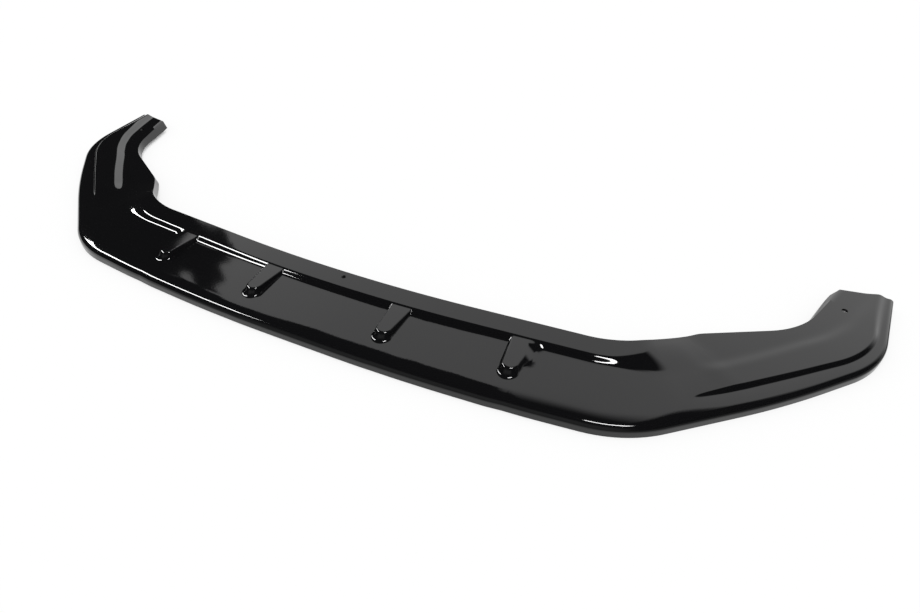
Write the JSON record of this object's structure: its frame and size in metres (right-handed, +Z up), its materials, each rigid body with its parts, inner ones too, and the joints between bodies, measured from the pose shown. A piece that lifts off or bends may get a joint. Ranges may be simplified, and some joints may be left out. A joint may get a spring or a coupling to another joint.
{
  "type": "front splitter lip",
  "caption": "Wide gloss plastic front splitter lip, hollow below, with rounded tongues on a raised rear land and swept wings with raised panels.",
  "frame": {"origin": "centre of the plan box, at the height of the rim that the lip stands on", "axes": "+X across the car to the left seen from the front, -Y towards the front of the car, +Z up"},
  "size_m": [1.76, 0.538, 0.0401],
  "materials": {
    "gloss_black": "high gloss, smooth show side"
  },
  "bodies": {
    "root": {"splitter_lip": "gloss_black"}
  },
  "joints": []
}
